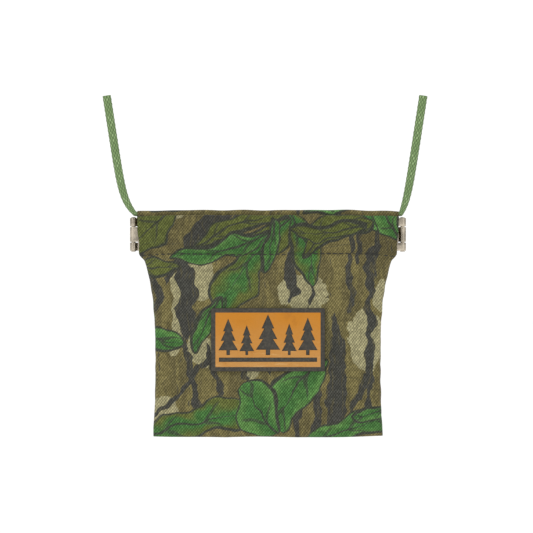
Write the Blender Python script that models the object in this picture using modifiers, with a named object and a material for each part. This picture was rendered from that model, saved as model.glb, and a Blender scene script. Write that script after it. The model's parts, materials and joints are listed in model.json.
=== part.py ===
"""A neck pouch with a squeeze-open spring frame, as an assembly of its separate pieces.

Metres, +Z up. The origin is the middle of the pouch's bottom edge. The front faces -Y, and left and
right are as seen from the front: left is -X.

Two fabric panels are joined by side and bottom seams. The top of each panel is folded into a
casing that holds a spring-steel band. The bands are joined at both ends by a three-knuckle hinge:
a middle knuckle on one leaf, the two outer knuckles on the other. A flat braided neck cord runs
through the back casing above its band and leaves at both ends.
"""

import math

import bmesh
import bpy
from mathutils import Matrix, Vector

MM = 0.001

# Driving dimensions.
FRAME_LENGTH = 101.6 * MM  # over the knuckles: the 4-inch size of this kind of frame
FRAME_HEIGHT = 12.0 * MM
FRAME_MIDDLE_Z = 74.7 * MM
HEM_Z = 67.0 * MM  # bottom of both casings
FRONT_TOP_Z = 82.0 * MM
BACK_TOP_Z = 83.9 * MM  # the back casing is taller, for the cord above its band
CASING_HALF_WIDTH = 48.0 * MM
FABRIC = 0.45 * MM
GAP = 0.3 * MM  # air between soft pieces that would touch
SMALL_GAP = 0.1 * MM  # air between the metal pieces

# Side outline of the panels, as half widths.
BOTTOM_HALF_WIDTH = 42.1 * MM
WAIST_HALF_WIDTH = 41.2 * MM
SHOULDER_HALF_WIDTH = 45.8 * MM
WAIST_Z = 27.0 * MM
OUTLINE_STEPS = 12

# Layers away from the mid plane, as distances along Y.
MOUTH_HALF_GAP = 0.25 * MM
CHANNEL_DEPTH = 1.7 * MM
CASING_DEPTH = CHANNEL_DEPTH + 2 * FABRIC
CASING_ROUND_STEPS = 4
PANEL_INNER_Y = 1.55 * MM
SEAM_WIDTH = 2.8 * MM
THREAD_RADIUS = 0.2 * MM

# Hinges.
KNUCKLE_RADIUS = 1.3 * MM
SHEET = 0.35 * MM
BORE_RADIUS = 0.9 * MM
PIN_RADIUS = 0.75 * MM
PIN_HEAD_RADIUS = 1.0 * MM
PIN_HEAD_HEIGHT = 0.35 * MM
PIN_HEAD_DOME = [(0.6, 0.85), (1.0, 0.3)]  # as shares of the head's radius and height
PIN_X = FRAME_LENGTH / 2 - KNUCKLE_RADIUS
MIDDLE_KNUCKLE = 5.4 * MM
KNUCKLE_GAP = 0.3 * MM
LEAF_LENGTH = 10.5 * MM
LEAF_CLEARANCE = 1.7 * MM  # from the pin's axis to the leaf's edge beside the other leaf's knuckle
TAB_HEIGHT = 3.6 * MM
TAB_START = LEAF_CLEARANCE + 1.2 * MM  # the tabs' two ends, from the pin's axis
TAB_END = LEAF_LENGTH - 1.0 * MM
ROUND_SEGMENTS = 24

# Spring bands.
BAND_THICKNESS = 0.4 * MM
BAND_INNER_Y = KNUCKLE_RADIUS + SMALL_GAP
BAND_HEIGHT = FRAME_HEIGHT - 2 * (SHEET + SMALL_GAP)
BAND_END_GAP = 1.0 * MM  # from the leaf's edge to the end of its band
BAND_HALF_LENGTH = PIN_X - LEAF_CLEARANCE - BAND_END_GAP

# Patch.
PATCH_WIDTH = 41.8 * MM
PATCH_HEIGHT = 23.2 * MM
PATCH_THICKNESS = 1.2 * MM
PATCH_MIDDLE_Z = 36.0 * MM
PATCH_CORNER = 0.5 * MM

# Neck cord.
CORD_Y = MOUTH_HALF_GAP + FABRIC + CHANNEL_DEPTH / 2
CORD_Z = 82.3 * MM
CORD_RADIUS = 1.6 * MM
CORD_FLATNESS = 0.5  # its thickness as a share of its width
CORD_RUN_RADIUS = 0.9 * MM
CORD_RUN_FLATNESS = 0.75
CORD_END_Z = 125.9 * MM
CORD_LEAN = 0.154  # sideways rise over height once the leg has straightened
CORD_TURN_HEIGHT = 4.4 * MM
CORD_TURN_STEPS = 14
CORD_LEFT_TURN = 3.9 * MM
CORD_RIGHT_TURN = 1.7 * MM
CORD_END_STRAIGHT = 1.5 * MM
CORD_EXIT = 0.8 * MM  # how far each leg leaves level before it turns up

LEFT, RIGHT = -1, 1
FRONT, BACK = -1, 1


def clear_scene():
    for obj in list(bpy.data.objects):
        bpy.data.objects.remove(obj, do_unlink=True)


def new_collection(name):
    collection = bpy.data.collections.new(name)
    bpy.context.scene.collection.children.link(collection)
    return collection


def material(name, color, roughness, metallic=0.0):
    made = bpy.data.materials.new(name)
    made.use_nodes = True
    shader = made.node_tree.nodes["Principled BSDF"]
    shader.inputs["Base Color"].default_value = (*color, 1.0)
    shader.inputs["Roughness"].default_value = roughness
    shader.inputs["Metallic"].default_value = metallic
    return made


def add(name, data, surface, collection):
    obj = bpy.data.objects.new(name, data)
    collection.objects.link(obj)
    if surface:
        data.materials.append(surface)
    return obj


def mesh_from(bm, name):
    bmesh.ops.recalc_face_normals(bm, faces=bm.faces)
    mesh = bpy.data.meshes.new(name)
    bm.to_mesh(mesh)
    bm.free()
    return mesh


def shade_round(obj, angle=40):
    obj.data.shade_smooth()
    obj.data.set_sharp_from_angle(angle=math.radians(angle))


def half_width(z):
    """Half the panel's width at height z: widest under the casing, narrowest at the waist."""
    if z < WAIST_Z:
        flare = ((WAIST_Z - z) / WAIST_Z) ** 2
        return WAIST_HALF_WIDTH + (BOTTOM_HALF_WIDTH - WAIST_HALF_WIDTH) * flare
    rise = ((z - WAIST_Z) / (HEM_Z - WAIST_Z)) ** 3
    return WAIST_HALF_WIDTH + (SHOULDER_HALF_WIDTH - WAIST_HALF_WIDTH) * rise


def plate(name, outline, thickness, middle_y, surface, collection):
    """A flat piece in the XZ plane: a filled 2D curve through outline, a list of (x, z)."""
    curve = bpy.data.curves.new(name, "CURVE")
    curve.dimensions = "2D"
    curve.fill_mode = "BOTH"
    curve.extrude = thickness / 2
    spline = curve.splines.new("POLY")
    spline.points.add(len(outline) - 1)
    for point, (x, z) in zip(spline.points, outline):
        point.co = (x, z, 0, 1)
    spline.use_cyclic_u = True
    obj = add(name, curve, surface, collection)
    obj.location.y = middle_y
    obj.rotation_euler.x = math.pi / 2
    return obj


def wire(name, points, radius, surface, collection, flatness=1.0, middle_y=0.0):
    """A round wire or cord through points, a list of (x, z, radius share); flatness thins it along Y."""
    curve = bpy.data.curves.new(name, "CURVE")
    curve.dimensions = "3D"
    curve.bevel_depth = radius
    curve.bevel_resolution = 2
    curve.use_fill_caps = True
    spline = curve.splines.new("POLY")
    spline.points.add(len(points) - 1)
    for point, (x, z, share) in zip(spline.points, points):
        point.co = (x, 0, z, 1)
        point.radius = share
    obj = add(name, curve, surface, collection)
    obj.location.y = middle_y
    obj.scale.y = flatness
    return obj


def box(bm, low, high):
    """Adds a box between two corners to bm."""
    low, high = Vector(low), Vector(high)
    size = high - low
    placed = Matrix.Translation((low + high) / 2) @ Matrix.Diagonal((*size, 1))
    bmesh.ops.create_cube(bm, size=1, matrix=placed)


def cylinder(bm, x, low_z, high_z, radius):
    """Adds an upright cylinder at x to bm."""
    placed = Matrix.Translation((x, 0, (low_z + high_z) / 2))
    bmesh.ops.create_cone(
        bm,
        cap_ends=True,
        segments=ROUND_SEGMENTS,
        radius1=radius,
        radius2=radius,
        depth=high_z - low_z,
        matrix=placed,
    )


def boolean(obj, other, operation):
    modifier = obj.modifiers.new(operation.lower(), "BOOLEAN")
    modifier.operation = operation
    modifier.object = other
    modifier.solver = "EXACT"


def helper(name, bm, collection):
    """A hidden mesh that a Boolean reads."""
    obj = add(name, mesh_from(bm, name), None, collection)
    obj.hide_render = True
    obj.display_type = "WIRE"
    return obj


def heights_between(low, high):
    return [low + (high - low) * i / OUTLINE_STEPS for i in range(OUTLINE_STEPS + 1)]


def panel(name, face, surface, parts):
    """One wall of the pouch, from the bottom edge to just under its casing."""
    heights = heights_between(0, HEM_Z - GAP)
    right = [(half_width(z), z) for z in heights]
    left = [(-x, z) for x, z in reversed(right)]
    return plate(name, right + left, FABRIC, face * (PANEL_INNER_Y + FABRIC / 2), surface, parts)


def side_seam(name, side, surface, parts):
    """The two panels' edges, sewn together and turned in."""
    outer = [(side * half_width(z), z) for z in heights_between(0, HEM_Z - 2 * GAP)]
    inner = [(x - side * SEAM_WIDTH, z) for x, z in reversed(outer)]
    return plate(name, outer + inner, 2 * (PANEL_INNER_Y - GAP), 0, surface, parts)


def bottom_seam(surface, parts):
    """The panels' bottom edges, sewn together and turned in, between the two side seams."""
    reach = BOTTOM_HALF_WIDTH - SEAM_WIDTH - 2 * GAP
    outline = [(-reach, 0), (reach, 0), (reach, SEAM_WIDTH), (-reach, SEAM_WIDTH)]
    return plate("bottom_seam", outline, 2 * (PANEL_INNER_Y - GAP), 0, surface, parts)


def seam_thread(surface, parts):
    """One line of stitching down a side, along the bottom and up the other side, inside the pouch."""
    inset = SEAM_WIDTH + GAP + THREAD_RADIUS
    right = [(half_width(z) - inset - GAP, z, 1) for z in heights_between(inset, HEM_Z - inset)]
    left = [(-x, z, 1) for x, z, _ in reversed(right)]
    return wire("seam_thread", left + right, THREAD_RADIUS, surface, parts)


def casing(name, face, top_z, surface, parts):
    """A fabric sleeve along X, open at both ends: a rounded loop drawn along X, with Solidify."""
    radius = CASING_DEPTH / 2
    middle_y = face * (MOUTH_HALF_GAP + radius)
    steps = [math.pi * i / CASING_ROUND_STEPS for i in range(CASING_ROUND_STEPS + 1)]
    upper = [(math.cos(a) * radius, top_z - radius + math.sin(a) * radius) for a in steps]
    lower = [(-math.cos(a) * radius, HEM_Z + radius - math.sin(a) * radius) for a in steps]
    bm = bmesh.new()
    ring = [bm.verts.new((-CASING_HALF_WIDTH, middle_y + y, z)) for y, z in upper + lower]
    edges = [bm.edges.new((a, b)) for a, b in zip(ring, ring[1:] + ring[:1])]
    drawn = bmesh.ops.extrude_edge_only(bm, edges=edges)["geom"]
    far_ring = [v for v in drawn if isinstance(v, bmesh.types.BMVert)]
    bmesh.ops.translate(bm, verts=far_ring, vec=(2 * CASING_HALF_WIDTH, 0, 0))
    obj = add(name, mesh_from(bm, name), surface, parts)
    wall = obj.modifiers.new("fabric", "SOLIDIFY")
    wall.thickness = FABRIC
    wall.offset = -1
    wall.use_even_offset = True
    shade_round(obj)
    return obj


def hem_thread(name, face, surface, parts):
    """The line of stitching that closes a casing, lying on its outer face."""
    reach = CASING_HALF_WIDTH - 2 * SEAM_WIDTH
    y = face * (MOUTH_HALF_GAP + CASING_DEPTH + SMALL_GAP + THREAD_RADIUS)
    z = HEM_Z + CASING_DEPTH / 2
    return wire(name, [(-reach, z, 1), (reach, z, 1)], THREAD_RADIUS, surface, parts, middle_y=y)


def spring_band(name, face, surface, parts):
    """A flat strip of spring steel inside a casing, lying against its hinge leaves."""
    bm = bmesh.new()
    low_y, high_y = sorted((face * BAND_INNER_Y, face * (BAND_INNER_Y + BAND_THICKNESS)))
    low = (-BAND_HALF_LENGTH, low_y, FRAME_MIDDLE_Z - BAND_HEIGHT / 2)
    high = (BAND_HALF_LENGTH, high_y, FRAME_MIDDLE_Z + BAND_HEIGHT / 2)
    box(bm, low, high)
    return add(name, mesh_from(bm, name), surface, parts)


def knuckle_spans(middle):
    """(low z, high z) of a leaf's knuckles: the middle one, or the two outer ones."""
    if middle:
        return [(FRAME_MIDDLE_Z - MIDDLE_KNUCKLE / 2, FRAME_MIDDLE_Z + MIDDLE_KNUCKLE / 2)]
    inner = MIDDLE_KNUCKLE / 2 + KNUCKLE_GAP
    outer = FRAME_HEIGHT / 2
    lower = (FRAME_MIDDLE_Z - outer, FRAME_MIDDLE_Z - inner)
    upper = (FRAME_MIDDLE_Z + inner, FRAME_MIDDLE_Z + outer)
    return [lower, upper]


def hinge_leaf(name, side, face, middle, surface, parts, helpers):
    """A bent-sheet leaf: knuckles round the pin, a plate along the band, and tabs crimped over its edges."""
    pin_x = side * PIN_X
    low_z, high_z = FRAME_MIDDLE_Z - FRAME_HEIGHT / 2, FRAME_MIDDLE_Z + FRAME_HEIGHT / 2
    tab_inner_y = BAND_INNER_Y + BAND_THICKNESS + SMALL_GAP

    def span(near_x, far_x, near_y, far_y, z0, z1):
        xs = sorted((pin_x - side * near_x, pin_x - side * far_x))
        ys = sorted((face * near_y, face * far_y))
        bm = bmesh.new()
        box(bm, (xs[0], ys[0], z0), (xs[1], ys[1], z1))
        return bm

    sheet_inner_y = KNUCKLE_RADIUS - SHEET
    tab_outer_y = tab_inner_y + SHEET
    plate_bm = span(LEAF_CLEARANCE, LEAF_LENGTH, sheet_inner_y, KNUCKLE_RADIUS, low_z, high_z)
    leaf = add(name, mesh_from(plate_bm, name), surface, parts)
    joined = []
    for z0, z1 in ((low_z, low_z + SHEET), (high_z - SHEET, high_z)):
        joined.append(span(TAB_START, TAB_END, sheet_inner_y, tab_outer_y, z0, z1))
    for z0, z1 in ((low_z, low_z + TAB_HEIGHT), (high_z - TAB_HEIGHT, high_z)):
        joined.append(span(TAB_START, TAB_END, tab_inner_y, tab_outer_y, z0, z1))
    for z0, z1 in knuckle_spans(middle):
        joined.append(span(0, LEAF_CLEARANCE + SHEET, sheet_inner_y, KNUCKLE_RADIUS, z0, z1))
        barrel = bmesh.new()
        cylinder(barrel, pin_x, z0, z1, KNUCKLE_RADIUS)
        joined.append(barrel)
    for number, bm in enumerate(joined):
        boolean(leaf, helper(f"{name}_piece_{number}", bm, helpers), "UNION")
    bore = bmesh.new()
    cylinder(bore, pin_x, low_z - SHEET, high_z + SHEET, BORE_RADIUS)
    boolean(leaf, helper(f"{name}_bore", bore, helpers), "DIFFERENCE")
    shade_round(leaf)
    return leaf


def hinge_pin(name, side, surface, parts):
    """A turned pin with a low domed head on top and a peened foot: a profile turned about Z."""
    half = FRAME_HEIGHT / 2
    head_z = half + SMALL_GAP / 2
    dome = [(PIN_HEAD_RADIUS * out, head_z + PIN_HEAD_HEIGHT * up) for out, up in PIN_HEAD_DOME]
    profile = [
        (0, head_z + PIN_HEAD_HEIGHT),
        *dome,
        (PIN_HEAD_RADIUS, head_z),
        (PIN_RADIUS, head_z),
        (PIN_RADIUS, -half - SMALL_GAP),
        (PIN_HEAD_RADIUS, -half - 2 * SMALL_GAP),
        (PIN_RADIUS, -half - PIN_HEAD_HEIGHT),
        (0, -half - PIN_HEAD_HEIGHT),
    ]
    bm = bmesh.new()
    points = [bm.verts.new((x, 0, z)) for x, z in profile]
    for a, b in zip(points, points[1:]):
        bm.edges.new((a, b))
    mesh = bpy.data.meshes.new(name)
    bm.to_mesh(mesh)
    bm.free()
    pin = add(name, mesh, surface, parts)
    pin.location = (side * PIN_X, 0, FRAME_MIDDLE_Z)
    turned = pin.modifiers.new("turned", "SCREW")
    turned.steps = turned.render_steps = ROUND_SEGMENTS
    turned.use_merge_vertices = True
    turned.merge_threshold = 0.01 * MM
    return pin


def leather_patch(surface, parts):
    """A thin rectangular patch on the front panel, with slightly rounded corners."""
    front_y = -(PANEL_INNER_Y + FABRIC + SMALL_GAP)
    bm = bmesh.new()
    low = (-PATCH_WIDTH / 2, front_y - PATCH_THICKNESS, PATCH_MIDDLE_Z - PATCH_HEIGHT / 2)
    high = (PATCH_WIDTH / 2, front_y, PATCH_MIDDLE_Z + PATCH_HEIGHT / 2)
    box(bm, low, high)
    corners = [e for e in bm.edges if abs(e.verts[0].co.y - e.verts[1].co.y) > PATCH_THICKNESS / 2]
    bmesh.ops.bevel(bm, geom=corners, offset=PATCH_CORNER, segments=3, affect="EDGES", profile=0.5)
    return add("leather_patch", mesh_from(bm, "leather_patch"), surface, parts)


def cord_run(surface, parts):
    """The part of the neck cord inside the back casing, flattened above the band."""
    reach = CASING_HALF_WIDTH
    points = [(-reach, CORD_Z, 1), (reach, CORD_Z, 1)]
    return wire("cord_run", points, CORD_RUN_RADIUS, surface, parts, CORD_RUN_FLATNESS, CORD_Y)


def cord_leg(name, side, turn, surface, parts):
    """A free leg of the neck cord: level out of the casing, a short turn, then a steady lean."""
    start_x = CASING_HALF_WIDTH + GAP
    turn_x = start_x + CORD_EXIT
    top = CORD_END_Z - CORD_END_STRAIGHT
    narrow = CORD_RUN_RADIUS / CORD_RADIUS
    points = [(side * start_x, CORD_Z, narrow)]
    for i in range(CORD_TURN_STEPS + 1):
        height = (top - CORD_Z) * (i / CORD_TURN_STEPS) ** 2
        grown = 1 - math.exp(-height / CORD_TURN_HEIGHT)
        x = turn_x + turn * grown + CORD_LEAN * height
        points.append((side * x, CORD_Z + height, narrow + (1 - narrow) * grown))
    points.append((points[-1][0], CORD_END_Z, 1))
    return wire(name, points, CORD_RADIUS, surface, parts, CORD_FLATNESS, CORD_Y)


def build():
    clear_scene()
    parts = new_collection("neck_pouch")
    helpers = new_collection("helpers")
    print_twill = material("camo_twill", (0.12, 0.13, 0.05), 0.9)
    thread = material("dark_thread", (0.02, 0.025, 0.015), 0.7)
    spring_steel = material("spring_steel", (0.45, 0.45, 0.44), 0.35, 1.0)
    nickel = material("nickel_plate", (0.62, 0.58, 0.5), 0.25, 1.0)
    leather = material("tan_leather", (0.45, 0.19, 0.03), 0.55)
    cord = material("green_cord", (0.17, 0.26, 0.1), 0.75)

    panel("front_panel", FRONT, print_twill, parts)
    panel("back_panel", BACK, print_twill, parts)
    side_seam("left_side_seam", LEFT, print_twill, parts)
    side_seam("right_side_seam", RIGHT, print_twill, parts)
    bottom_seam(print_twill, parts)
    seam_thread(thread, parts)
    casing("front_casing", FRONT, FRONT_TOP_Z, print_twill, parts)
    casing("back_casing", BACK, BACK_TOP_Z, print_twill, parts)
    hem_thread("front_hem_thread", FRONT, thread, parts)
    hem_thread("back_hem_thread", BACK, thread, parts)

    spring_band("front_spring_band", FRONT, spring_steel, parts)
    spring_band("back_spring_band", BACK, spring_steel, parts)
    hinge_leaf("left_front_leaf", LEFT, FRONT, True, nickel, parts, helpers)
    hinge_leaf("left_back_leaf", LEFT, BACK, False, nickel, parts, helpers)
    hinge_leaf("right_front_leaf", RIGHT, FRONT, False, nickel, parts, helpers)
    hinge_leaf("right_back_leaf", RIGHT, BACK, True, nickel, parts, helpers)
    hinge_pin("left_hinge_pin", LEFT, nickel, parts)
    hinge_pin("right_hinge_pin", RIGHT, nickel, parts)

    leather_patch(leather, parts)
    cord_run(cord, parts)
    cord_leg("left_cord_leg", LEFT, CORD_LEFT_TURN, cord, parts)
    cord_leg("right_cord_leg", RIGHT, CORD_RIGHT_TURN, cord, parts)


build()
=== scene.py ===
"""The looks of a squeeze-open neck pouch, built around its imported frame.

Each soft part is a cloth surface with thickness, wrinkles and stitches.

Lengths are in millimetres and turned into metres where a mesh is made, except on the stage.
"""

import json
import math

import bmesh
import bpy
import numpy as np
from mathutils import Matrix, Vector

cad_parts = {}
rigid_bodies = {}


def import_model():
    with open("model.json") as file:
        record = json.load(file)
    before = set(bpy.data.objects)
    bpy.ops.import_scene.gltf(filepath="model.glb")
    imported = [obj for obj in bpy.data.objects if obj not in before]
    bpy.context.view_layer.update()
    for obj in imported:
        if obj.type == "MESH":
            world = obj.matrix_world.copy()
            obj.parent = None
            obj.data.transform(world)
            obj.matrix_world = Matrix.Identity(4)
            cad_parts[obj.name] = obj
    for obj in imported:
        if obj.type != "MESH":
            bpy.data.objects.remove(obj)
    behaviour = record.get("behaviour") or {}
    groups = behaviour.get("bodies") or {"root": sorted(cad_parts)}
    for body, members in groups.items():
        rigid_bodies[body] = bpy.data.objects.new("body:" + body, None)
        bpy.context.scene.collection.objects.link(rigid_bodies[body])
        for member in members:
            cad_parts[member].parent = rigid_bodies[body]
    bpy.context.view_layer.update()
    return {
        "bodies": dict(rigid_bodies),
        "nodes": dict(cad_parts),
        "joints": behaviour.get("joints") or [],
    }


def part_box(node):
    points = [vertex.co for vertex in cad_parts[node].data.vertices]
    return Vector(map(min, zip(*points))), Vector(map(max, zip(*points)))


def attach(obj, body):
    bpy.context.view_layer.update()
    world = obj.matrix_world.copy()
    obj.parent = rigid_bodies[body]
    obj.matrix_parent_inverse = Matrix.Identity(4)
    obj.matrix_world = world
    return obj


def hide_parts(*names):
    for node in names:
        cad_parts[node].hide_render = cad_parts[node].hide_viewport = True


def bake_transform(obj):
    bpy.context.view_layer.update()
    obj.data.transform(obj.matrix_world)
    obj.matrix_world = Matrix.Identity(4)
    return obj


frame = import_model()

MM = 0.001
FRONT, BACK = LEFT, RIGHT = -1, 1
FACE_NAMES = {FRONT: "front", BACK: "back"}
SIDE_NAMES = {LEFT: "left", RIGHT: "right"}

# Places taken from the frame.


def box_mm(node):
    low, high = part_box(node)
    return np.array(low) / MM, np.array(high) / MM


LEAF_TURN = next(j for j in frame["joints"] if j["name"] == "left_front_leaf_turn")
PIN_X = abs(LEAF_TURN["pos_m"][0]) / MM
CASING_LOW, CASING_HIGH = box_mm("front_casing")
BACK_CASING_HIGH = box_mm("back_casing")[1]
PATCH_LOW, PATCH_HIGH = box_mm("leather_patch")
RUN_LOW, RUN_HIGH = box_mm("cord_run")
LEAF_LOW, LEAF_HIGH = box_mm("left_front_leaf")
LEAF_END_X = min(abs(LEAF_LOW[0]), abs(LEAF_HIGH[0]))
LEAF_OUTER_X = max(abs(LEAF_LOW[0]), abs(LEAF_HIGH[0]))
TOP_Z = {FRONT: CASING_HIGH[2], BACK: BACK_CASING_HIGH[2]}
PANEL_Y = box_mm("back_panel")[1][1]
CASING_Y = BACK_CASING_HIGH[1]
HEM_Z = CASING_LOW[2]

# Cloth.
CLOTH = 0.42
CLOTH_STEP = 0.6
EDGE_ROUND = 3.0  # how far in from the side seam the wall has its full depth
SEAM_Y = 0.25
OPEN_END_Z = (64.8, 68.2)  # the wall's sides are sewn below this stretch and open above it
BOTTOM_ROUND = 2.5  # the height over which the wall leaves the bottom fold
TWILL_PITCH = 0.8
TWILL_ANGLE = math.radians(52)

# Stitches.
STITCH_Z = HEM_Z + 0.5
STITCH_LENGTH = 1.75
STITCH_GAP = 0.55
STITCH_RADIUS = 0.2

# Seam allowances.
ALLOWANCE_CLOTH = 0.36
ALLOWANCE_DEPTH = 2.6
ALLOWANCE_FOLD = 0.35  # how far in the two layers meet
OVERLOCK_RADIUS = 0.13
OVERLOCK_STEP = 0.35

# The bow of the mouth: straight along the hinge leaves, then a parabola to the middle.
LEAF_SHARE = 0.2

# Metal.
BAND_END_ROUND = 1.5
LEAF_SHEET = 0.35
LEAF_CLEARANCE = 1.7
TAB_START = LEAF_CLEARANCE + 1.2
TAB_END_GAP = 1.0
TAB_HEIGHT = 3.6
TAB_BEND = 0.4
MIDDLE_KNUCKLE_HALF = 2.7
KNUCKLE_GAP = 0.3
KNUCKLE_TURN = math.radians(318)
SHEET_EDGE = 0.06

# Cord.
CORD_SIDES = 44
CORD_STEP = 0.13
CARRIERS = 8  # strands each way round
LAY = 1.9  # the travel in which a strand moves over by its own width
CORD_HALF_WIDTH = 1.6
CORD_HALF_DEPTH = 0.95
CORD_LEAN = 0.154
CORD_TURN_HEIGHT = 4.4
CORD_EXIT = 0.8
CORD_NARROW = 0.55  # the share of its width with which the cord leaves the casing
CORD_TUCK = 0.15  # how far each end reaches into the next length

# Patch.
BORDER = 1.5
BORDER_DEPTH = 0.14
ENGRAVING = 0.22

# Stage, in metres.
WORLD_LIGHT = 0.96
CAMERA_LIGHT = 1.05
FLOOR_REACH = 30.0
FLOOR_Z = -0.4
FLOOR_GLOW = 0.12
# (place, size, power)
LIGHTS = {
    "key": ((-0.7, -1.1, 1.1), 0.8, 7.0),
    "fill": ((0.9, -1.0, 0.4), 1.2, 1.0),
    "rim": ((0.3, 1.2, 0.9), 1.0, 4.0),
}
LIGHT_TARGET = (0, 0, 0.06)
CAMERA_PLACE = (-0.00055, -1.0, 0.0629)
VIEW_WIDTH = 0.1962


def smooth(value, low, high):
    t = np.clip((np.asarray(value, float) - low) / (high - low), 0, 1)
    return t * t * (3 - 2 * t)


def outline_samples():
    """The panel's half width against height, read from the frame's panel."""
    corners = [(v.co.z / MM, abs(v.co.x) / MM) for v in frame["nodes"]["front_panel"].data.vertices]
    heights = sorted({round(z, 2) for z, _ in corners})
    return heights, [max(x for z, x in corners if abs(z - h) < 0.01) for h in heights]


OUTLINE_Z, OUTLINE_X = outline_samples()


def half_width(z):
    """Half the wall's width at height z: the panel's outline, stepping out to the casing."""
    panel = np.interp(z, OUTLINE_Z, OUTLINE_X)
    casing = CASING_HIGH[0] - 0.7 + 0.8 * smooth(z, HEM_Z, TOP_Z[FRONT])
    return panel + (casing - panel) * smooth(z, HEM_Z - 2.2, HEM_Z + 0.9)


def waves(x, z, wavelength, count, seed):
    """A smooth random height field of about unit size: sines in random directions."""
    rng = np.random.default_rng(seed)
    total = np.zeros(np.broadcast(x, z).shape)
    for _ in range(count):
        turn = rng.uniform(0, math.tau)
        pace = math.tau / (wavelength * rng.uniform(0.7, 1.5))
        start = rng.uniform(0, math.tau)
        total += np.sin(pace * (np.cos(turn) * x + np.sin(turn) * z) + start)
    return total / math.sqrt(count / 2)


# Mesh helpers.


def grid_faces(rows, columns, tube=False):
    """Quads over a grid of points. A tube's rows close, and its ends are capped."""
    index = np.arange(rows * columns).reshape(rows, columns)
    caps = [index[0, ::-1].tolist(), index[-1].tolist()] if tube else []
    if tube:
        index = np.concatenate([index, index[:, :1]], axis=1)
    quads = np.stack([index[:-1, :-1], index[:-1, 1:], index[1:, 1:], index[1:, :-1]], axis=-1)
    return quads.reshape(-1, 4).tolist() + caps


def mesh_object(name, points, faces):
    mesh = bpy.data.meshes.new(name)
    mesh.from_pydata((np.reshape(points, (-1, 3)) * MM).tolist(), [], faces)
    return link(name, mesh)


def solid_object(name, bm):
    """Ends a bmesh as an object with its faces outward."""
    bmesh.ops.recalc_face_normals(bm, faces=bm.faces)
    mesh = bpy.data.meshes.new(name)
    bm.to_mesh(mesh)
    bm.free()
    return link(name, mesh)


def link(name, data):
    obj = bpy.data.objects.new(name, data)
    bpy.context.scene.collection.objects.link(obj)
    return obj


def evaluated_mesh(obj):
    return bpy.data.meshes.new_from_object(obj.evaluated_get(bpy.context.evaluated_depsgraph_get()))


def store(mesh, name, values, kind="FLOAT"):
    values = np.asarray(values, np.float32)
    attribute = mesh.attributes.new(name, kind, "POINT")
    attribute.data.foreach_set("vector" if kind == "FLOAT_VECTOR" else "value", values.ravel())


def places(mesh):
    found = np.zeros(len(mesh.vertices) * 3)
    mesh.vertices.foreach_get("co", found)
    return found.reshape(-1, 3)


def travel_along(path):
    """The distance from the start of path to each of its points."""
    return np.concatenate([[0], np.cumsum(np.linalg.norm(np.diff(path, axis=0), axis=1))])


def finish_piece(obj, material, angle=180):
    obj.data.materials.append(material)
    obj.data.shade_smooth()
    if angle < 180:
        obj.data.set_sharp_from_angle(angle=math.radians(angle))


def solidify(obj, thickness):
    wall = obj.modifiers.new("thickness", "SOLIDIFY")
    wall.thickness = thickness * MM
    wall.offset = 0.0
    wall.use_even_offset = True
    return wall


# Node trees.


class Nodes:
    """Short calls that add nodes to a tree and wire them."""

    def __init__(self, tree):
        self.tree = tree

    def node(self, kind, inputs=(), **settings):
        made = self.tree.nodes.new(kind)
        for name, value in settings.items():
            setattr(made, name, value)
        for socket, value in dict(inputs).items():
            self.put(made.inputs[socket], value)
        return made

    def put(self, socket, value):
        if isinstance(value, bpy.types.NodeSocket):
            self.tree.links.new(value, socket)
        elif isinstance(value, tuple) and len(value) == 3 and socket.type == "RGBA":
            socket.default_value = (*value, 1)
        else:
            socket.default_value = value

    def surface(self, **values):
        """Sets the material's own inputs, named with _ for each space."""
        principled = self.tree.nodes["Principled BSDF"]
        for socket, value in values.items():
            self.put(principled.inputs[socket.replace("_", " ")], value)

    def math(self, operation, *values):
        return self.node("ShaderNodeMath", enumerate(values), operation=operation).outputs[0]

    def add(self, a, b):
        return self.math("ADD", a, b)

    def sub(self, a, b):
        return self.math("SUBTRACT", a, b)

    def mul(self, a, b):
        return self.math("MULTIPLY", a, b)

    def vector(self, operation, a, b):
        inputs = {0: a, "Scale" if operation == "SCALE" else 1: b}
        return self.node("ShaderNodeVectorMath", inputs, operation=operation).outputs[0]

    def step(self, value, low, high, start=0.0, end=1.0):
        """Rises smoothly from start to end as value goes from low to high."""
        inputs = {"Value": value, "From Min": low, "From Max": high, "To Min": start, "To Max": end}
        return self.node("ShaderNodeMapRange", inputs, interpolation_type="SMOOTHSTEP").outputs[0]

    def mix(self, share, a, b, blend="MIX"):
        made = self.node("ShaderNodeMix", {0: share, 6: a, 7: b}, data_type="RGBA", blend_type=blend)
        return made.outputs[2]

    def split(self, vector):
        made = self.node("ShaderNodeSeparateXYZ", {0: vector})
        return made.outputs[0], made.outputs[1], made.outputs[2]

    def join(self, x, y, z=0.0):
        return self.node("ShaderNodeCombineXYZ", {0: x, 1: y, 2: z}).outputs[0]

    def noise(self, vector, scale, detail=2.0, roughness=0.5):
        inputs = {"Vector": vector, "Scale": scale, "Detail": detail, "Roughness": roughness}
        return self.node("ShaderNodeTexNoise", inputs).outputs["Fac"]

    def drift(self, vector, scale, size, detail=3.0, roughness=0.5):
        """Noise around zero."""
        return self.mul(self.sub(self.noise(vector, scale, detail, roughness), 0.5), size)

    def attribute(self, name, output="Fac"):
        return self.node("ShaderNodeAttribute", attribute_name=name).outputs[output]

    def object_place(self):
        return self.node("ShaderNodeTexCoord").outputs["Object"]

    def bump(self, height, strength, distance):
        inputs = {"Height": height, "Strength": strength, "Distance": distance * MM}
        return self.node("ShaderNodeBump", inputs).outputs[0]


def new_material(name):
    made = bpy.data.materials.new(name)
    made.use_nodes = True
    return made, Nodes(made.node_tree)


def scaled(colour, share):
    return tuple(share * c for c in colour)


# The motion of the soft pieces.


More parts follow.
